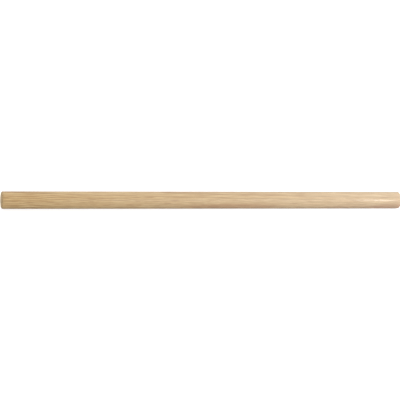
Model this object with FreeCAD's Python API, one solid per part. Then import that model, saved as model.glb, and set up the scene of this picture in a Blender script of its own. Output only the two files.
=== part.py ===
# A plain wooden stick for juggling and gymnastics: one turned round rod with crowned ends and eased edges.
# The stick lies along X and +Z is up. The origin is its balance point, half-way along its axis.
# All sizes are in millimetres.
import FreeCAD, Part
import math
import os

# Driving dimensions.
LENGTH = 600.0
DIAMETER = 25.0
CROWN_RADIUS = 2 * DIAMETER  # the shallow dome on each end
EDGE_RADIUS = 1.5  # the eased edge between a dome and the barrel

RADIUS = DIAMETER / 2
HALF_LENGTH = LENGTH / 2
AXIS_POINT = FreeCAD.Vector(0, 0, 0)
AXIS_DIRECTION = FreeCAD.Vector(1, 0, 0)
FULL_TURN = 360.0

# Where the two arcs of an end are centred. The edge arc touches the crown arc from inside and the barrel
# line from below, so it is centred EDGE_RADIUS inside both.
CROWN_CENTRE_X = HALF_LENGTH - CROWN_RADIUS
EDGE_CENTRE_HEIGHT = RADIUS - EDGE_RADIUS
CENTRE_GAP = CROWN_RADIUS - EDGE_RADIUS
JOIN_ANGLE = math.asin(EDGE_CENTRE_HEIGHT / CENTRE_GAP)
EDGE_CENTRE_X = CROWN_CENTRE_X + CENTRE_GAP * math.cos(JOIN_ANGLE)


def arc(side, centre_x, centre_height, radius, start, stop):
    """An arc of one end's outline in the XZ plane, from angle start to angle stop above the stick's axis.

    side is 1 for the end at +X and -1 for the end at -X.
    """
    points = []
    for angle in (start, (start + stop) / 2, stop):
        x = side * (centre_x + radius * math.cos(angle))
        z = centre_height + radius * math.sin(angle)
        points.append(FreeCAD.Vector(x, 0, z))
    return Part.Arc(*points).toShape()


def end_outline(side):
    """The crown and the eased edge of one end, from the axis out to the barrel."""
    crown = arc(side, CROWN_CENTRE_X, 0, CROWN_RADIUS, 0, JOIN_ANGLE)
    edge = arc(side, EDGE_CENTRE_X, EDGE_CENTRE_HEIGHT, EDGE_RADIUS, JOIN_ANGLE, math.pi / 2)
    return [crown, edge]


def line(half_length, height):
    """A line along the stick, centred on the origin, at this height above the axis."""
    start = FreeCAD.Vector(-half_length, 0, height)
    stop = FreeCAD.Vector(half_length, 0, height)
    return Part.makeLine(start, stop)


def stick():
    """The whole stick, as its half outline turned about its axis."""
    axis = line(HALF_LENGTH, 0)
    barrel = line(EDGE_CENTRE_X, RADIUS)
    edges = [axis, barrel, *end_outline(1), *end_outline(-1)]
    outline = Part.Wire(Part.__sortEdges__(edges))
    return Part.Face(outline).revolve(AXIS_POINT, AXIS_DIRECTION, FULL_TURN)


def export(shape, node):
    """Writes one sub-part to its own STEP file and prints its facts."""
    shape.exportStep(f"parts/{node}.step")
    print(node, "valid" if shape.isValid() else "INVALID", shape.ShapeType, f"{shape.Volume:.1f} mm3")


os.makedirs("parts", exist_ok=True)
export(stick(), "stick")
print(f"barrel length {2 * EDGE_CENTRE_X:.3f} mm, radius {RADIUS:.3f} mm")
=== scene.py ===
# A plain wooden stick, shown on a white floor in soft light.
#
# The CAD stick is replaced by a finely meshed one, with the slight unevenness of a sanded and lacquered rod.
# Its wood is a solid texture: growth rings, streaks, fibres, pores and dark flecks that follow one grain
# through the stick, so the figure on the barrel and the rings on the ends belong together.
# Lengths are in metres. Names that end in _MM are in millimetres.
import math

import bpy
import numpy as np
from mathutils import Matrix, Vector


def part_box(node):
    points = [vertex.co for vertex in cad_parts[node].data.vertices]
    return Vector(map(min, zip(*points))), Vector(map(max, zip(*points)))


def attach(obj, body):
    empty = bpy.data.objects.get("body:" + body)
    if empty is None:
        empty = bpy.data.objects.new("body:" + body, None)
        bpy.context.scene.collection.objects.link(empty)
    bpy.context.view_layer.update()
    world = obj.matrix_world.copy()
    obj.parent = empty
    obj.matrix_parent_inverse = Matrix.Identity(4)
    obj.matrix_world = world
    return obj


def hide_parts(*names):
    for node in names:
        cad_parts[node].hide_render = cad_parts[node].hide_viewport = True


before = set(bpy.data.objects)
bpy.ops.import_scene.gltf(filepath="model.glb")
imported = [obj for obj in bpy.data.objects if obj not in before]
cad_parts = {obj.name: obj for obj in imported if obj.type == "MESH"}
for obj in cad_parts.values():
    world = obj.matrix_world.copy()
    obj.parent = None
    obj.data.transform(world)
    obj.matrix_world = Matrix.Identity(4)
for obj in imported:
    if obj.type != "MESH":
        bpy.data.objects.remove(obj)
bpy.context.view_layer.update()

MM = 0.001
FULL_TURN = 2 * math.pi

# The stick's size, from the CAD node. Its ends have the CAD part's two arcs.
LOWEST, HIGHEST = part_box("stick")
CENTRE = (LOWEST + HIGHEST) / 2
HALF_LENGTH = (HIGHEST.x - LOWEST.x) / 2
RADIUS = min(HIGHEST.y - LOWEST.y, HIGHEST.z - LOWEST.z) / 2
CROWN_RADIUS = 4 * RADIUS
EDGE_RADIUS = 1.5 * MM

# How finely the stick is meshed.
ROUND_STEPS = 144
BARREL_STEPS = 560
CROWN_STEPS = 22
EDGE_STEPS = 12

# How deep the sanding went at most: in long flats, and in short hollows on top of them.
FLAT_DEPTH = 0.05 * MM
HOLLOW_DEPTH = 0.02 * MM
SANDING_SEED = 7


# ---------------------------------------------------------------- the stick's shape


def end_outline():
    """One end's points from its tip to the barrel, as (distance in from the tip, height above the axis)."""
    edge_height = RADIUS - EDGE_RADIUS
    gap = CROWN_RADIUS - EDGE_RADIUS
    join = math.asin(edge_height / gap)
    edge_inset = CROWN_RADIUS - gap * math.cos(join)
    points = []
    for angle in np.linspace(0, join, CROWN_STEPS + 1)[1:]:
        points.append((CROWN_RADIUS * (1 - math.cos(angle)), CROWN_RADIUS * math.sin(angle)))
    for angle in np.linspace(join, math.pi / 2, EDGE_STEPS + 1)[1:]:
        inset = edge_inset - EDGE_RADIUS * math.cos(angle)
        points.append((inset, edge_height + EDGE_RADIUS * math.sin(angle)))
    return points


def outline():
    """(x, height) of every ring of the stick from its -X end to its +X end, the two tips left out."""
    end = end_outline()
    barrel_half = HALF_LENGTH - end[-1][0]
    left = [(inset - HALF_LENGTH, height) for inset, height in end]
    right = [(HALF_LENGTH - inset, height) for inset, height in reversed(end)]
    barrel = [(x, RADIUS) for x in np.linspace(-barrel_half, barrel_half, BARREL_STEPS + 1)[1:-1]]
    return np.array(left + barrel + right)


def waves(x, angle, lengths, turns, random):
    """A smooth field between 0 and 1 over the barrel: waves along the stick that also wind round it."""
    total = np.zeros(np.broadcast(x, angle).shape)
    for length, turn in zip(lengths, turns):
        phase = random.uniform(0, FULL_TURN)
        total += np.cos(FULL_TURN * x / length + turn * angle + phase)
    return (total / len(lengths) + 1) / 2


def sunk(x, angle):
    """How far the sanded surface lies inside the true round form."""
    random = np.random.default_rng(SANDING_SEED)
    flats = waves(x, angle, lengths=(0.31, 0.17, 0.11), turns=(2, -3, 1), random=random)
    hollows = waves(x, angle, lengths=(0.052, 0.037, 0.029, 0.021), turns=(1, -2, 3, -1), random=random)
    return FLAT_DEPTH * flats + HOLLOW_DEPTH * hollows


def stick_points():
    """The points of the stick: its rings from -X to +X, then the tip at -X and the tip at +X."""
    rings = outline()
    angles = np.arange(ROUND_STEPS) * FULL_TURN / ROUND_STEPS
    x = np.repeat(rings[:, :1], ROUND_STEPS, axis=1)
    height = rings[:, 1:] * (1 - sunk(x, angles) / RADIUS)
    points = np.stack([x, height * np.cos(angles), height * np.sin(angles)], axis=-1).reshape(-1, 3)
    tips = [(-HALF_LENGTH, 0, 0), (HALF_LENGTH, 0, 0)]
    return np.vstack([points, tips]) + np.array(CENTRE)


def stick_faces(point_count):
    """A four-sided face between each ring and the next, and a fan of triangles round each tip."""
    left_tip = point_count - 2
    right_tip = point_count - 1
    last_ring = left_tip - ROUND_STEPS
    faces = []
    for step in range(ROUND_STEPS):
        following = (step + 1) % ROUND_STEPS
        faces.append((left_tip, following, step))
        faces.append((right_tip, last_ring + step, last_ring + following))
        for start in range(0, last_ring, ROUND_STEPS):
            beyond = start + ROUND_STEPS
            faces.append((start + step, start + following, beyond + following, beyond + step))
    return faces


def make_stick():
    """The stick as one closed mesh."""
    points = stick_points()
    mesh = bpy.data.meshes.new("wooden_stick")
    mesh.from_pydata(points.tolist(), [], stick_faces(len(points)))
    mesh.shade_smooth()
    mesh.validate()
    stick = bpy.data.objects.new("wooden_stick", mesh)
    bpy.context.collection.objects.link(stick)
    return stick


# ---------------------------------------------------------------- materials


def srgb(red, green, blue):
    """A colour given as 0 to 255 screen values, as the linear colour that a shader takes."""
    linear = []
    for value in (red / 255, green / 255, blue / 255):
        linear.append(value / 12.92 if value <= 0.04045 else ((value + 0.055) / 1.055) ** 2.4)
    return (*linear, 1)


class Shader:
    """The node tree of a material or of the world, with one short call for each node that is used here."""

    def __init__(self, tree):
        self.tree = tree

    def node(self, kind, inputs, **settings):
        """A node of this kind. Each input is a value or another node's output, by its name or number."""
        node = self.tree.nodes.new("ShaderNode" + kind)
        for name, value in settings.items():
            setattr(node, name, value)
        for name, value in inputs.items():
            self.feed(node.inputs[name], value)
        return node

    def feed(self, socket, value):
        if isinstance(value, bpy.types.NodeSocket):
            self.tree.links.new(value, socket)
        else:
            socket.default_value = value

    def math(self, operation, *values):
        return self.node("Math", dict(enumerate(values)), operation=operation).outputs[0]

    def vector(self, x=0.0, y=0.0, z=0.0):
        return self.node("CombineXYZ", {"X": x, "Y": y, "Z": z}).outputs[0]

    def parts(self, vector):
        return self.node("SeparateXYZ", {"Vector": vector}).outputs

    def length(self, vector):
        return self.node("VectorMath", {0: vector}, operation="LENGTH").outputs["Value"]

    def stretched(self, vector, sizes):
        """The vector divided by a size along each of its three directions."""
        return self.node("VectorMath", {0: vector, 1: sizes}, operation="DIVIDE").outputs[0]

    def noise(self, vector, sizes, detail, roughness=0.5):
        """Smooth noise whose lumps have about these sizes."""
        place = self.stretched(vector, sizes)
        inputs = {"Vector": place, "Scale": 1.0, "Detail": detail, "Roughness": roughness}
        return self.node("TexNoise", inputs).outputs

    def random(self, value):
        """A random number from 0 to 1 for each whole number."""
        return self.node("TexWhiteNoise", {"W": value}, noise_dimensions="1D").outputs["Value"]

    def specks(self, vector, sizes, edge, core):
        """About one speck in each cell of these sizes.

        It goes from 0 to 1 between the distances edge and core from its middle, counted in cells.
        """
        inputs = {"Vector": self.stretched(vector, sizes), "Scale": 1.0}
        return self.ease(self.node("TexVoronoi", inputs).outputs["Distance"], edge, core)

    def ease(self, value, start, stop, low=0.0, high=1.0):
        """Goes smoothly from low to high as the value goes from start to stop."""
        inputs = {"Value": value, "From Min": start, "From Max": stop, "To Min": low, "To Max": high}
        return self.node("MapRange", inputs, interpolation_type="SMOOTHSTEP").outputs["Result"]

    def mix(self, factor, first, second, blend="MIX"):
        """The second colour over the first, as strongly as the factor says."""
        node = self.node("Mix", {}, data_type="RGBA", blend_type=blend)
        self.feed(node.inputs[0], factor)
        self.feed(node.inputs[6], first)
        self.feed(node.inputs[7], second)
        return node.outputs[2]

    def tint(self, factor, colour, kept):
        """The colour with only this much of each of its parts kept, as strongly as the factor says."""
        return self.mix(factor, colour, self.mix(1.0, colour, kept, "MULTIPLY"))

    def bump(self, height, distance):
        return self.node("Bump", {"Height": height, "Distance": distance, "Strength": 1.0}).outputs["Normal"]


# The tree that the stick was cut from. At the stick's middle the tree's pith is this far behind the stick's
# axis and this far above it. Towards +X both change by this much for each millimetre.
PITH_MM = (6.6, 53.4)
PITH_LEAN = (-0.036, -0.006)

# The growth rings are this far apart. They bunch and spread by this many rings, over about this distance.
RING_MM = 2.6
BUNCHING = 1.6
BUNCH_MM = 7.0

# The shares of a year at which its wood starts to darken, is darkest and starts to pale again, and how dark
# the palest and the darkest year get.
SUMMER_START = 0.45
SUMMER_FULL = 0.93
SUMMER_END = 0.95
PALEST_YEAR = 0.48
DARKEST_YEAR = 0.88

# The grain wanders by this much over lengths of about this size along X, Y and Z: slowly, and in ripples.
WANDER_MM = 1.8
WANDER_SIZES_MM = (150, 50, 50)
RIPPLE_MM = 0.5
RIPPLE_SIZES_MM = (45, 14, 14)

# The sizes of what shows in the wood: along the grain, out from the pith and round the pith.
PATCH_MM = (26, 2.2, 2.2)
BAND_MM = (150, 6, 6)
STREAK_MM = (30, 0.85, 0.85)
FIBRE_MM = (6, 0.14, 0.14)
FLECK_MM = (34, 2.4, 1.8)
PORE_MM = (3, 0.42, 0.42)

# Its colours, and how strongly some of them show.
SPRINGWOOD = srgb(205, 179, 134)
SUMMERWOOD = srgb(149, 117, 75)
BAND_COLOUR = srgb(188, 150, 102)
BAND_DEPTH = 0.12
STREAK_COLOUR = srgb(166, 130, 84)
FIBRE_COLOUR = srgb(152, 116, 72)
FIBRE_DEPTH = 0.35
FLECK_COLOUR = srgb(138, 98, 60)
FLECK_DEPTH = 0.75
PORE_COLOUR = srgb(126, 90, 54)
PORE_DEPTH = 0.35

# Streaks and flecks are long threads in the wood. They keep this much of their strength on the barrel, and
# this much on the ends, where they are cut across.
THREAD_DEPTH = 0.6
CUT_THREAD_DEPTH = 0.2

# Darker, redder tongues low on the front: partly the wood's redder heartwood, partly painted shade on the
# stick's lower side. Each has its middle, its reach from there along X, Y and Z, and its depth of colour.
HEART_AND_SHADE_TONGUES_MM = (
    ((36, -10.5, -2.5), (82, 5.5, 5.5), 0.62),
    ((288, -11.2, -4.0), (38, 6.5, 6.5), 0.85),
    ((228, -11.4, -4.6), (62, 4.5, 4.5), 0.3),
)

# A tongue is full inside its core and gone past its edge, both as shares of its reach, and the streaks make
# it ragged by up to this share. The tint is how much of each colour a depth of 1 keeps.
TONGUE_CORE = 0.9
TONGUE_EDGE = 1.4
TONGUE_RAGGEDNESS = 0.5
HEART_AND_SHADE_TINT = (0.76, 0.58, 0.46, 1)

# Painted sheen: the wood gets paler from its -X end to its +X end, where it has this much of the pale colour.
# It stands in for the light that the lacquer throws back more strongly towards +X.
SHEEN_PAINT_COLOUR = srgb(226, 214, 204)
PAINTED_SHEEN = 0.26

# End grain drinks more lacquer, so it is yellower and duller. It keeps this much of each colour.
END_TINT = (1.0, 0.97, 0.90, 1)

# The wood's surface, and the clear lacquer over it. Fibres and end grain add to the roughness.
WOOD_ROUGHNESS = 0.34
FIBRE_ROUGHNESS = 0.16
END_ROUGHNESS = 0.12
WOOD_SHINE = 0.1
LACQUER_WEIGHT = 0.4
LACQUER_ROUGHNESS = 0.06
END_LACQUER_ROUGHNESS = 0.3

# Summerwood and fibres stand up a little and pores are dips, by these shares of the relief.
WOOD_RELIEF = 0.02 * MM
SUMMER_HEIGHT = 0.6
FIBRE_HEIGHT = 0.5
PORE_HEIGHT = -0.9


def new_material(name):
    """A new material, its shader and its surface node."""
    material = bpy.data.materials.new(name)
    material.use_nodes = True
    return material, Shader(material.node_tree), material.node_tree.nodes["Principled BSDF"]


def wander(shader, place):
    """How far the grain wanders along Y and along Z at this place, in millimetres."""
    slow = shader.parts(shader.noise(place, WANDER_SIZES_MM, detail=0)["Color"])
    quick = shader.parts(shader.noise(place, RIPPLE_SIZES_MM, detail=1)["Color"])
    shifts = []
    for part in (0, 1):
        shift = shader.math("MULTIPLY_ADD", slow[part], WANDER_MM, -WANDER_MM / 2)
        shifts.append(shader.math("MULTIPLY_ADD", quick[part], RIPPLE_MM, shift))
    return shifts


def grain(shader):
    """Coordinates that follow the wandering grain, in millimetres.

    Returns the place in the stick, and then the distances along the grain, out from the pith and round it.
    """
    place = shader.node("TexCoord", {}).outputs["Object"]
    place = shader.node("VectorMath", {0: place, "Scale": 1 / MM}, operation="SCALE").outputs[0]
    x, y, z = shader.parts(place)
    y_shift, z_shift = wander(shader, place)
    y = shader.math("ADD", y, y_shift)
    z = shader.math("ADD", z, z_shift)
    across = shader.math("MULTIPLY_ADD", x, -PITH_LEAN[0], shader.math("SUBTRACT", y, PITH_MM[0]))
    up = shader.math("MULTIPLY_ADD", x, -PITH_LEAN[1], shader.math("SUBTRACT", z, PITH_MM[1]))
    out = shader.length(shader.vector(y=across, z=up))
    pith_distance = math.hypot(*PITH_MM)
    around = shader.math("MULTIPLY", shader.math("ARCTAN2", up, across), pith_distance)
    return shader.vector(x, y, z), x, out, around


def growth_rings(shader, out, place):
    """How far the wood is through its year, from 0 to 1, and how much of it is dark summerwood.

    Each year darkens slowly and ends sharply. No two years are alike, and each has weaker and stronger
    patches.
    """
    bunching = shader.noise(shader.vector(x=out), (BUNCH_MM, 1, 1), detail=0)["Fac"]
    age = shader.math("MULTIPLY_ADD", bunching, BUNCHING, shader.math("DIVIDE", out, RING_MM))
    season = shader.math("FRACT", age)
    year = shader.random(shader.math("FLOOR", age))
    patches = shader.noise(place, PATCH_MM, detail=1)["Fac"]
    darkening = shader.ease(season, SUMMER_START, SUMMER_FULL)
    summer = shader.math("MULTIPLY", darkening, shader.ease(season, 1.0, SUMMER_END))
    strength = shader.math("MULTIPLY_ADD", year, DARKEST_YEAR - PALEST_YEAR, PALEST_YEAR)
    summer = shader.math("MULTIPLY", summer, strength)
    summer = shader.math("MULTIPLY", summer, shader.ease(patches, 0.38, 0.62, low=0.7, high=1.1))
    return season, summer


def add_heart_and_shade_tongues(shader, colour, spot, streaks):
    """The colour with the tongues of heartwood and painted shade, whose edges are drawn out along the
    streaks.
    """
    for middle, reach, depth in HEART_AND_SHADE_TONGUES_MM:
        away = shader.node("VectorMath", {0: spot, 1: middle}, operation="SUBTRACT").outputs[0]
        away = shader.length(shader.stretched(away, reach))
        away = shader.math("MULTIPLY_ADD", streaks, TONGUE_RAGGEDNESS, away)
        colour = shader.tint(shader.ease(away, TONGUE_EDGE, TONGUE_CORE, high=depth), colour, HEART_AND_SHADE_TINT)
    return colour


def add_painted_sheen(shader, colour, x):
    """The colour with more and more of the pale colour towards +X: a painted sheen."""
    half_length = HALF_LENGTH / MM
    along = shader.node("MapRange", {"Value": x, "From Min": -half_length, "From Max": half_length})
    sheen_share = shader.math("MULTIPLY", along.outputs["Result"], PAINTED_SHEEN)
    return shader.mix(sheen_share, colour, SHEEN_PAINT_COLOUR)


def wood():
    """Pale wood under clear lacquer."""
    material, shader, surface = new_material("lacquered_wood")
    spot, x, out, around = grain(shader)
    place = shader.vector(x, out, around)

    # How far the surface cuts across the grain: 0 on the barrel and 1 on the tip.
    facing = shader.parts(shader.node("TexCoord", {}).outputs["Normal"])[0]
    end_grain = shader.ease(shader.math("ABSOLUTE", facing), 0.15, 0.95)
    threads = shader.math("MULTIPLY_ADD", end_grain, CUT_THREAD_DEPTH - THREAD_DEPTH, THREAD_DEPTH)

    season, summer = growth_rings(shader, out, place)
    bands = shader.noise(place, BAND_MM, detail=1)["Fac"]
    streaks = shader.noise(place, STREAK_MM, detail=1)["Fac"]
    fibres = shader.noise(place, FIBRE_MM, detail=2, roughness=0.6)["Fac"]
    flecks = shader.specks(place, FLECK_MM, edge=0.28, core=0.14)
    flecks = shader.math("MULTIPLY", flecks, threads)

    # Most pores are in the springwood.
    pores = shader.specks(place, PORE_MM, edge=0.30, core=0.12)
    pores = shader.math("MULTIPLY", pores, shader.ease(season, 0.6, 0.1, low=0.35))

    colour = shader.mix(summer, SPRINGWOOD, SUMMERWOOD)
    colour = shader.mix(shader.ease(bands, 0.35, 0.65, high=BAND_DEPTH), colour, BAND_COLOUR)
    streak_depth = shader.math("MULTIPLY", shader.ease(streaks, 0.40, 0.62), threads)
    colour = shader.mix(streak_depth, colour, STREAK_COLOUR)
    colour = shader.mix(shader.ease(fibres, 0.40, 0.75, high=FIBRE_DEPTH), colour, FIBRE_COLOUR)
    colour = shader.mix(shader.math("MULTIPLY", flecks, FLECK_DEPTH), colour, FLECK_COLOUR)
    colour = shader.mix(shader.math("MULTIPLY", pores, PORE_DEPTH), colour, PORE_COLOUR)
    # Redder heartwood tongues, partly painted shade low on the front.
    colour = add_heart_and_shade_tongues(shader, colour, spot, streaks)
    # Painted sheen: paler towards +X.
    colour = add_painted_sheen(shader, colour, x)
    colour = shader.tint(end_grain, colour, END_TINT)

    rough = shader.math("MULTIPLY_ADD", fibres, FIBRE_ROUGHNESS, WOOD_ROUGHNESS)
    rough = shader.math("MULTIPLY_ADD", end_grain, END_ROUGHNESS, rough)
    lacquer_rough = shader.math("MULTIPLY_ADD", end_grain, END_LACQUER_ROUGHNESS, LACQUER_ROUGHNESS)

    relief = shader.math("MULTIPLY", fibres, FIBRE_HEIGHT)
    relief = shader.math("MULTIPLY_ADD", summer, SUMMER_HEIGHT, relief)
    relief = shader.math("MULTIPLY_ADD", pores, PORE_HEIGHT, relief)

    shader.feed(surface.inputs["Base Color"], colour)
    shader.feed(surface.inputs["Roughness"], rough)
    shader.feed(surface.inputs["Normal"], shader.bump(relief, WOOD_RELIEF))
    surface.inputs["Specular IOR Level"].default_value = WOOD_SHINE
    surface.inputs["Coat Weight"].default_value = LACQUER_WEIGHT
    shader.feed(surface.inputs["Coat Roughness"], lacquer_rough)
    return material


# The floor's paper is grey, and glows by this much where the camera sees it.
PAPER_COLOUR = (0.58, 0.58, 0.58, 1)
PAPER_ROUGHNESS = 0.9
PAPER_SHINE = 0.1
PAPER_GLOW = 0.7
WHITE = (1, 1, 1, 1)


def paper():
    """The floor's paper. It looks white, but throws no more light on the stick than grey paper does."""
    material, shader, surface = new_material("white_floor")
    seen = shader.node("LightPath", {}).outputs["Is Camera Ray"]
    surface.inputs["Base Color"].default_value = PAPER_COLOUR
    surface.inputs["Roughness"].default_value = PAPER_ROUGHNESS
    surface.inputs["Specular IOR Level"].default_value = PAPER_SHINE
    surface.inputs["Emission Color"].default_value = WHITE
    shader.feed(surface.inputs["Emission Strength"], shader.math("MULTIPLY", seen, PAPER_GLOW))
    return material


# ---------------------------------------------------------------- floor, light and camera

FLOOR_REACH = 30.0

# How far the soft boxes are from the middle of the stick.
LAMP_DISTANCE = 2.2

# The ceiling's light is a very wide sun, a little behind the stick. Both angles are in degrees.
CEILING_RISE = 115
CEILING_WIDTH = 70
CEILING_POWER = 0.95

# How bright the walls are, as (sine of the angle above the horizon, strength). They are dim where they meet
# the floor, so that they don't wash out the wood in a view along the stick.
WALL_STRENGTHS = ((0.0, 0.27), (0.06, 0.33), (0.22, 1.0), (0.45, 0.3))


def make_floor(material):
    """A flat floor just under the stick, which reaches well past every view of it."""
    height = LOWEST.z
    sides = ((-1, -1), (1, -1), (1, 1), (-1, 1))
    corners = [(x * FLOOR_REACH, y * FLOOR_REACH, height) for x, y in sides]
    mesh = bpy.data.meshes.new("floor")
    mesh.from_pydata(corners, [], [(0, 1, 2, 3)])
    mesh.materials.append(material)
    floor = bpy.data.objects.new("floor", mesh)
    bpy.context.collection.objects.link(floor)


def toward(side, rise):
    """The direction this many degrees off the stick's middle plane towards +X, and up from its front."""
    side = math.radians(side)
    rise = math.radians(rise)
    return Vector((math.sin(side), -math.cos(side) * math.cos(rise), math.cos(side) * math.sin(rise)))


def link_lamp(name, data, away):
    """A lamp that shines the opposite way to this direction."""
    lamp = bpy.data.objects.new(name, data)
    lamp.rotation_mode = "QUATERNION"
    lamp.rotation_quaternion = away.to_track_quat("Z", "Y")
    bpy.context.collection.objects.link(lamp)
    return lamp


def make_soft_box(name, side, rise, width, depth, power, diffuse=True, glossy=True, aim=0.0, spread=180):
    """A soft box toward(side, rise) from the stick's middle, which the camera doesn't see.

    diffuse says whether it lights rough surfaces, and glossy whether it shows in shiny ones. It faces a point
    on the stick's axis, aim from the middle, with a beam spread degrees wide.
    """
    data = bpy.data.lights.new(name, "AREA")
    data.shape = "RECTANGLE"
    data.size = width
    data.size_y = depth
    data.energy = power
    data.spread = math.radians(spread)
    place = toward(side, rise) * LAMP_DISTANCE
    lamp = link_lamp(name, data, place - Vector((aim, 0, 0)))
    lamp.location = CENTRE + place
    lamp.visible_camera = False
    lamp.visible_diffuse = diffuse
    lamp.visible_glossy = glossy


def make_ceiling():
    """Broad even light from overhead, over the whole floor."""
    data = bpy.data.lights.new("ceiling", "SUN")
    data.angle = math.radians(CEILING_WIDTH)
    data.energy = CEILING_POWER
    link_lamp("ceiling", data, toward(0, CEILING_RISE))


def make_walls():
    """The walls all round, as the world. The camera sees them full white."""
    world = bpy.data.worlds.new("white_studio")
    world.use_nodes = True
    shader = Shader(world.node_tree)
    direction = shader.node("TexCoord", {}).outputs["Generated"]
    walls = shader.node("ValToRGB", {"Fac": shader.parts(direction)["Z"]})
    # The ramp comes with a stop at 0, which is kept, and one at 1.
    stops = walls.color_ramp.elements
    stops.remove(stops[1])
    for sine, strength in WALL_STRENGTHS:
        stop = stops.new(sine) if sine else stops[0]
        stop.color = (strength, strength, strength, 1)
    walls.color_ramp.interpolation = "EASE"
    seen = shader.node("LightPath", {}).outputs["Is Camera Ray"]
    background = world.node_tree.nodes["Background"]
    background.inputs["Color"].default_value = WHITE
    shader.feed(background.inputs["Strength"], shader.math("MAXIMUM", walls.outputs["Color"], seen))
    bpy.context.scene.world = world


def make_lights():
    """The studio's lights.

    The key box stands in front of the stick and to its right, and weaker boxes above it, to its left and
    behind it. The strip box only leaves a long faint sheen on the lacquer. The glint box only leaves a glint
    on the +X end, with a beam so narrow that the stick doesn't glare when it is seen from behind.
    """
    make_walls()
    make_soft_box("key_box", side=34, rise=36, width=2.0, depth=1.5, power=38.3, glossy=False)
    make_soft_box(
        "glint_box", side=31.5, rise=37, width=0.45, depth=0.15, power=0.27,
        diffuse=False, aim=0.39, spread=24,
    )
    make_soft_box("strip_box", side=14.5, rise=37, width=0.75, depth=0.15, power=5, diffuse=False)
    make_soft_box("top_box", side=35, rise=90, width=1.5, depth=1.0, power=8.5)
    make_ceiling()
    make_soft_box("fill_box", side=-68, rise=40, width=2.0, depth=2.0, power=9.5, glossy=False)
    make_soft_box("back_box", side=-15, rise=150, width=2.0, depth=1.5, power=14, glossy=False)


# The camera looks at a point close to the stick's middle, with the stick's -X end turned towards it. Both
# angles are in degrees.
CAMERA_AIM = Vector((-0.0093, 0, 0.00015))
CAMERA_DISTANCE = 2.402
CAMERA_TURN = -18.66
CAMERA_RISE = 36
CAMERA_LENS = 148.8


def make_camera():
    """The camera, rolled so that the stick lies level across the picture."""
    turn = math.radians(CAMERA_TURN)
    rise = math.radians(CAMERA_RISE)
    back = Vector((math.sin(turn) * math.cos(rise), -math.cos(turn) * math.cos(rise), math.sin(rise)))
    stick_axis = Vector((1, 0, 0))
    right = (stick_axis - stick_axis.dot(back) * back).normalized()
    up = back.cross(right)
    data = bpy.data.cameras.new("camera")
    data.lens = CAMERA_LENS
    camera = bpy.data.objects.new("camera", data)
    turned = Matrix((right, up, back)).transposed().to_4x4()
    camera.matrix_world = Matrix.Translation(CENTRE + CAMERA_AIM + back * CAMERA_DISTANCE) @ turned
    bpy.context.collection.objects.link(camera)
    bpy.context.scene.camera = camera


# ---------------------------------------------------------------- the scene

stick = make_stick()
stick.data.materials.append(wood())
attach(stick, "root")
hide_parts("stick")

make_floor(paper())
make_lights()
make_camera()
bpy.context.scene.view_settings.view_transform = "Standard"
